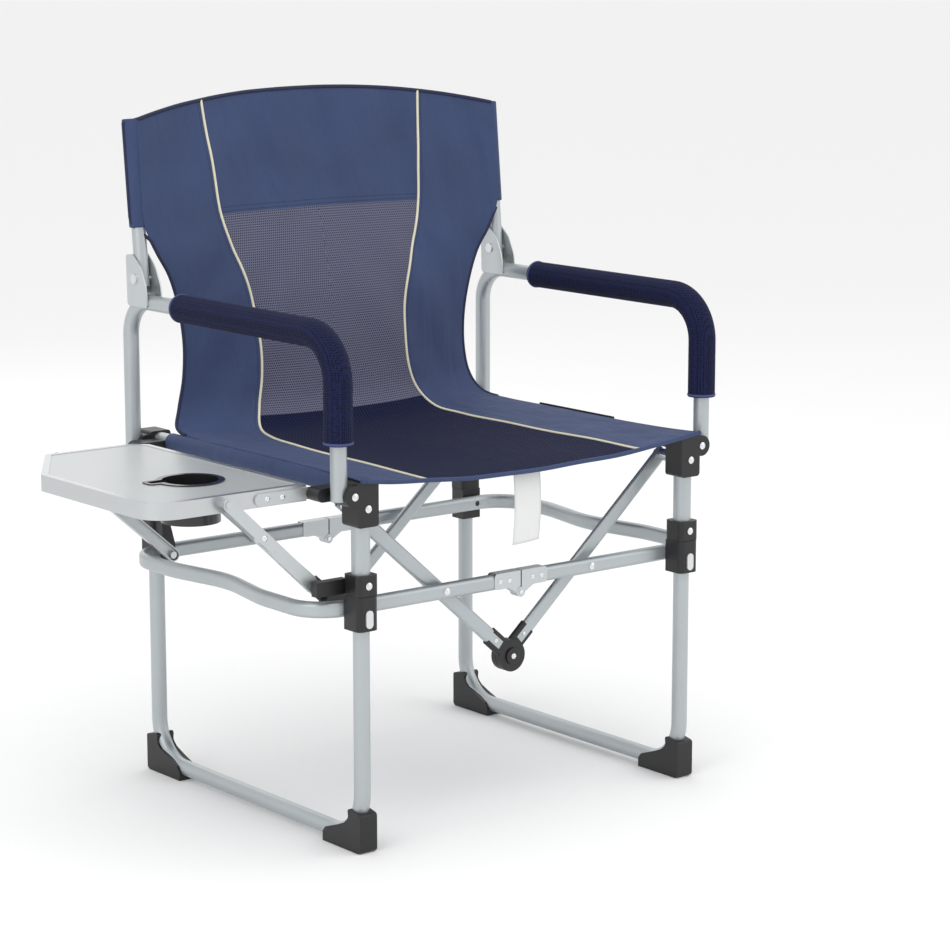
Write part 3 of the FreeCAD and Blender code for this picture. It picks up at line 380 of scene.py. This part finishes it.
def cloth_spot(column, down):
    """A point on the sling: column runs from -1 to 1 with the piped seams at fixed columns."""
    mid_y, mid_z, edge_y, edge_z, half, seam = smooth_station(down)
    side = 1 if column >= 0 else -1
    reach = abs(column)
    share = reach / SEAM_COLUMN * seam if reach < SEAM_COLUMN else \
        seam + (reach - SEAM_COLUMN) / (1 - SEAM_COLUMN) * (1 - seam)
    bend = share ** 2.2
    x = side * share * half
    y = mid_y + (edge_y - mid_y) * bend
    z = mid_z + (edge_z - mid_z) * bend
    lift = creases(x, down) * (1 - share ** 6)
    seatward = max(0.0, min(1.0, (down - 8.5) / 2.5))
    return Vector((x, y + lift * (1 - seatward), z + lift * seatward))


def seam_gap(column, down):
    """How far outward of the seam a place is, in metres."""
    half, seam = smooth_station(down)[4:6]
    reach = abs(column)
    if reach < SEAM_COLUMN:
        return (reach / SEAM_COLUMN - 1) * seam * half
    return (reach - SEAM_COLUMN) / (1 - SEAM_COLUMN) * (1 - seam) * half


def length_down(down):
    """Metres down the cloth's middle from the top panel's lower edge."""
    steps = 24
    low, high = sorted((TOP_PANEL_END, down))
    walk = [cloth_spot(0, low + (high - low) * k / steps) for k in range(steps + 1)]
    run = sum((b - a).length for a, b in zip(walk, walk[1:]))
    return run if down >= TOP_PANEL_END else -run


def cloth_panel(name, start, end, rows, columns=80):
    """One length of the sling between two places down the cloth, a thin closed sheet."""
    clear_choice()
    bpy.ops.mesh.primitive_grid_add(x_subdivisions=columns, y_subdivisions=rows, size=2, calc_uvs=True)
    panel = bpy.context.object
    panel.name = name
    mesh = panel.data
    places = [(v.co.x, start + (1 - v.co.y) / 2 * (end - start)) for v in mesh.vertices]
    down_run = {}
    for vertex, (column, down) in zip(mesh.vertices, places):
        key = round(down, 5)
        if key not in down_run:
            down_run[key] = length_down(down)
        vertex.co = cloth_spot(column, down)
    layer = mesh.uv_layers.active.data
    for face in mesh.polygons:
        for corner, point in zip(face.loop_indices, face.vertices):
            column, down = places[point]
            layer[corner].uv = (seam_gap(column, down), down_run[round(down, 5)])
    for paint in (FINISHES["sling_fabric"], NETTING, SEAT_MESH):
        mesh.materials.append(paint)
    for face in mesh.polygons:
        column = sum(places[n][0] for n in face.vertices) / 4
        down = sum(places[n][1] for n in face.vertices) / 4
        if abs(column) < SEAM_COLUMN and down > TOP_PANEL_END:
            face.material_index = 1 if down < SEAT_START else 2
    area = sum(face.area for face in mesh.polygons)
    wide = 2 * max(smooth_station(start + (end - start) * k / 8)[4] for k in range(9))
    tall = length_down(end) - length_down(start)
    pick(panel)
    bpy.ops.object.shade_smooth()
    bpy.ops.object.modifier_add(type="SOLIDIFY")
    panel.modifiers[-1].thickness, panel.modifiers[-1].offset = CLOTH_THICK, 0
    bpy.ops.object.modifier_apply(modifier=panel.modifiers[-1].name)
    bpy.ops.object.shade_smooth_by_angle(angle=math.radians(50))
    return panel, (wide, tall, min(area, wide * tall))


def flatten(piece):
    """The piece gets a mesh of its own."""
    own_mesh(piece)


def face_out(column, down):
    """The unit direction out of the cloth's sitting side."""
    here = cloth_spot(column, down)
    over = cloth_spot(min(column + 0.02, 1), down) - cloth_spot(max(column - 0.02, -1), down)
    on = cloth_spot(column, min(down + 0.05, LAST_ROW)) - cloth_spot(column, max(down - 0.05, 0))
    return here, on.cross(over).normalized()


def trim_line(column, start, end, count, lift=0.0):
    """Points down the cloth at one column, lifted off its sitting side."""
    line = []
    for k in range(count + 1):
        here, out = face_out(column, start + (end - start) * k / count)
        line.append(here + out * lift)
    return line


def outer_edge(s):
    """The binding's way down the outer side of a post sleeve, from the top hem to the sleeve's end."""
    spots = []
    for k in range(EDGE_STEPS):
        z = TOP_HEM_Z - k * EDGE_STEP
        y = POST_FOOT[0] + (z - POST_FOOT[1]) * math.tan(POST_LEAN)
        spots.append(Vector((s * (ARM_X + POST_SLEEVE), y, z)))
    return spots


def build_sling():
    """The back and the seat, with their piping, bindings and hems."""
    spans = (("back_panel_upper", 0.0, HINGE_ROW, 60, "post_right"),
             ("seat_and_lower_back", HINGE_ROW, LAST_ROW, 120, "frame_right"))
    for name, start, end, rows, body in spans:
        panel, (wide, tall, area) = cloth_panel(name, start, end, rows)
        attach(panel, body)
        trims = []
        for side, s in SIDES:
            for label, column, radius, lift, paint in (
                    ("piping", SEAM_COLUMN, 0.0019, 0.0012, PIPING),
                    ("binding", 1.0, 0.0024, 0.0, BINDING)):
                first, last = start, end
                if label == "binding" and start > 0:
                    last = BINDING_END
                line = trim_line(s * column, first, last, int(8 * (last - first)), lift)
                if label == "binding" and start == 0.0:
                    line = outer_edge(s) + line[int(8 * TOP_PANEL_END) + 4:]
                trim = cord_piece(f"{label}_{side}_{body}", line, radius, paint, body)
                trims.append(trim)
        if start == 0.0:
            hem = [cloth_spot(-1 + k / 30, 0.0) for k in range(61)]
            hem = [outer_edge(-1)[0], *hem, outer_edge(1)[0]]
            trims.append(cord_piece("top_binding", hem, 0.0028, BINDING, body))
            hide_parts("sling_back_upper")
        else:
            hem = [cloth_spot(-1 + k / 30, LAST_ROW) for k in range(61)]
            trims.append(cord_piece("front_hem", hem, 0.0030, FINISHES["sling_fabric"],
                                    body))
            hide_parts("sling_seat", "sling_back_lower")
        for piece in (panel, *trims):
            flatten(piece)


def sleeve(name, foot, along, length, radius, body):
    """A cloth tunnel round a post or a rail, closed at both ends, with softly rounded edges."""
    clear_choice()
    middle = foot + along * (length / 2)
    turn = along.to_track_quat("Z", "Y").to_euler()
    bpy.ops.mesh.primitive_cylinder_add(vertices=40, radius=radius, depth=length,
                                        location=middle, rotation=turn)
    tunnel = bpy.context.object
    bpy.ops.object.mode_set(mode="EDIT")
    bpy.ops.mesh.select_all(action="SELECT")
    bpy.ops.mesh.bisect(plane_co=middle, plane_no=along)
    bpy.ops.object.mode_set(mode="OBJECT")
    pick(tunnel)
    bpy.ops.object.modifier_add(type="BEVEL")
    tunnel.modifiers[-1].width, tunnel.modifiers[-1].segments = 0.0022, 3
    bpy.ops.object.modifier_apply(modifier=tunnel.modifiers[-1].name)
    piece = named(name, FINISHES["sling_fabric"])
    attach(piece, body)
    return piece


def build_sleeves():
    """Tunnels round the seat rails and the back posts."""
    lean = Vector((0, math.sin(POST_LEAN), math.cos(POST_LEAN)))
    for side, s in SIDES:
        sleeve(f"rail_sleeve_{side}", Vector((s * HALF_WIDTH, RAIL_SLEEVE_START, RAIL_Z)),
               Vector((0, 1, 0)), RAIL_SLEEVE_LENGTH, RAIL_SLEEVE, f"frame_{side}")
        foot = Vector((s * ARM_X, *POST_FOOT)) + lean * POST_SLEEVE_START
        sleeve(f"post_sleeve_{side}", foot, lean, POST_SLEEVE_LENGTH, POST_SLEEVE, f"post_{side}")


def build_grip_hems():
    """The stitched hems at both ends of the arm pads."""
    for side, s in SIDES:
        for end, place, turn in (("front", (s * ARM_X, -HALF_DEPTH, 0.5475), (0, 0, 0)),
                                 ("rear", (s * ARM_X, 0.1155, 0.683), (math.pi / 2, 0, 0))):
            clear_choice()
            bpy.ops.mesh.primitive_torus_add(major_radius=0.0178, minor_radius=0.0022, major_segments=48,
                                             minor_segments=10, location=place, rotation=turn)
            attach(named(f"grip_hem_{end}_{side}", GRIP_HEM), f"frame_{side}")


def rivet(name, place, facing, body, radius=0.0042):
    """A domed rivet head: a low cap on a face."""
    clear_choice()
    bpy.ops.mesh.primitive_uv_sphere_add(segments=24, ring_count=12, radius=radius, location=place,
                                         scale=[0.5 if axis else 1 for axis in facing])
    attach(named(name, FINISHES["rivet_steel"]), body)


def foot_hinge_face(end, e):
    """The round bottom hinge's boss and its pin's head, on the right braces' outer side."""
    face_y = HALF_DEPTH - BRACE_INSET["right"]
    clear_choice()
    bpy.ops.mesh.primitive_cylinder_add(vertices=48, radius=0.0115, depth=0.003,
                                        location=(0, e * (face_y + 0.0059), FOOT_Z),
                                        rotation=(math.pi / 2, 0, 0))
    bpy.ops.object.modifier_add(type="BEVEL")
    bpy.context.object.modifiers[-1].width, bpy.context.object.modifiers[-1].segments = 0.001, 3
    bpy.ops.object.modifier_apply(modifier="Bevel")
    boss = named(f"foot_boss_{end}", FINISHES["black_plastic"])
    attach(boss, "braces_right")
    rivet(f"foot_pin_{end}", (0, e * (face_y + 0.0074), FOOT_Z), (0, 1, 0), "braces_right", 0.0042)


# Where the struts' elbows and the straps' outer faces stand at each end of the table.
ELBOWS = {"front": (-0.4082, -0.2145, 0.4304), "rear": (-0.3888, 0.2085, 0.4168)}
STRAP_FACES = {"front": -0.203, "rear": 0.197}
LEAF_RIVETS_X, LEAF_RIVETS_Z, FOOT_RIVET_X = (0.036, 0.020), 0.324, 0.0285
STRAP_RIVETS_X, STRAP_RIVETS_Z = (-0.395, -0.372), 0.478


def build_rivets():
    """Small rivets in the middle hinge leaves, the braces' feet, the elbows and the table's straps."""
    bar_y = HALF_DEPTH - 0.0225
    for end, e in ENDS:
        for side, s in SIDES:
            for k, x in enumerate(LEAF_RIVETS_X):
                rivet(f"leaf_rivet_{end}_{side}_{k}", (s * x, e * (bar_y + 0.008), LEAF_RIVETS_Z),
                      (0, 1, 0), f"cross_{side}", 0.0036)
            place = (s * FOOT_RIVET_X, e * (HALF_DEPTH - BRACE_INSET[side] + 0.0045),
                     FOOT_Z + FOOT_RIVET_X * BRACE_RISE)
            rivet(f"foot_rivet_{end}_{side}", place, (0, 1, 0), f"braces_{side}", 0.0032)
        foot_hinge_face(end, e)
        rivet(f"elbow_rivet_{end}", ELBOWS[end], (0, 1, 0), f"link_{end}", 0.0044)
        for k, x in enumerate(STRAP_RIVETS_X):
            rivet(f"strap_rivet_{end}_{k}", (x, STRAP_FACES[end], STRAP_RIVETS_Z), (0, 1, 0),
                  "table", 0.0040)


def build_label():
    """A blank satin care label that hangs from the seat's front hem, a little bent."""
    clear_choice()
    bpy.ops.mesh.primitive_grid_add(x_subdivisions=10, y_subdivisions=20, size=2)
    tape = bpy.context.object
    for v in tape.data.vertices:
        across, down = v.co.x, (1 - v.co.y) / 2
        v.co = (across * LABEL_WIDE / 2,
                LABEL_Y - 0.004 * math.sin(down * 3.0) + 0.002 * across * across * down,
                LABEL_TOP_Z - down * LABEL_TALL + 0.0015 * across * down)
    piece = named("hem_label", FINISHES["label_white"])
    bpy.ops.object.modifier_add(type="SOLIDIFY")
    piece.modifiers[-1].thickness, piece.modifiers[-1].offset = LABEL_THICK, 0
    bpy.ops.object.modifier_apply(modifier=piece.modifiers[-1].name)
    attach(piece, "frame_right")
    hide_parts("care_label")
    flatten(piece)


build_sling()
build_label()
build_sleeves()
build_grip_hems()
build_rivets()


# ---------------------------------------------------------------- floor, lights and camera

clear_choice()
bpy.ops.mesh.primitive_plane_add(size=300, location=(0, 0, -0.0005))
floor = bpy.context.object
floor.name = "studio_floor"
floor.data.materials.append(finish_named("pale_floor", (0.93, 0.93, 0.93), 0.9)[0])


def softbox(name, place, size, power):
    """A square soft light aimed at the seat."""
    bpy.ops.object.light_add(type="AREA", location=place)
    lamp = bpy.context.object
    lamp.name = name
    lamp.data.size, lamp.data.energy = size, power
    lamp.rotation_euler = (Vector((0, 0, 0.5)) - Vector(place)).to_track_quat("-Z", "Y").to_euler()


softbox("overhead_box", (-0.6, -0.8, 3.4), 3.2, 26)
softbox("left_box", (-3.4, -1.2, 2.0), 2.4, 20)
softbox("right_box", (2.8, -2.6, 2.2), 2.6, 16)
softbox("rear_box", (0.8, 3.2, 2.4), 2.6, 10)
world = bpy.data.worlds.new("pale_room")
world.use_nodes = True
world.node_tree.nodes["Background"].inputs["Color"].default_value = (1.0, 1.0, 1.0, 1)
world.node_tree.nodes["Background"].inputs["Strength"].default_value = 0.95
bpy.context.scene.world = world
bpy.context.scene.view_settings.view_transform = "Standard"

TARGET, AZIMUTH, ELEVATION, DISTANCE = Vector((0.0633, -0.0505, 0.4331)), -38.548, 10.679, 4.160
turn, rise = math.radians(AZIMUTH), math.radians(ELEVATION)
away = Vector((math.sin(turn) * math.cos(rise), -math.cos(turn) * math.cos(rise), math.sin(rise)))
bpy.ops.object.camera_add(location=TARGET + away * DISTANCE,
                          rotation=away.to_track_quat("Z", "Y").to_euler())
camera = bpy.context.object
camera.data.lens, camera.data.sensor_width = 111.98, 36
bpy.context.scene.camera = camera
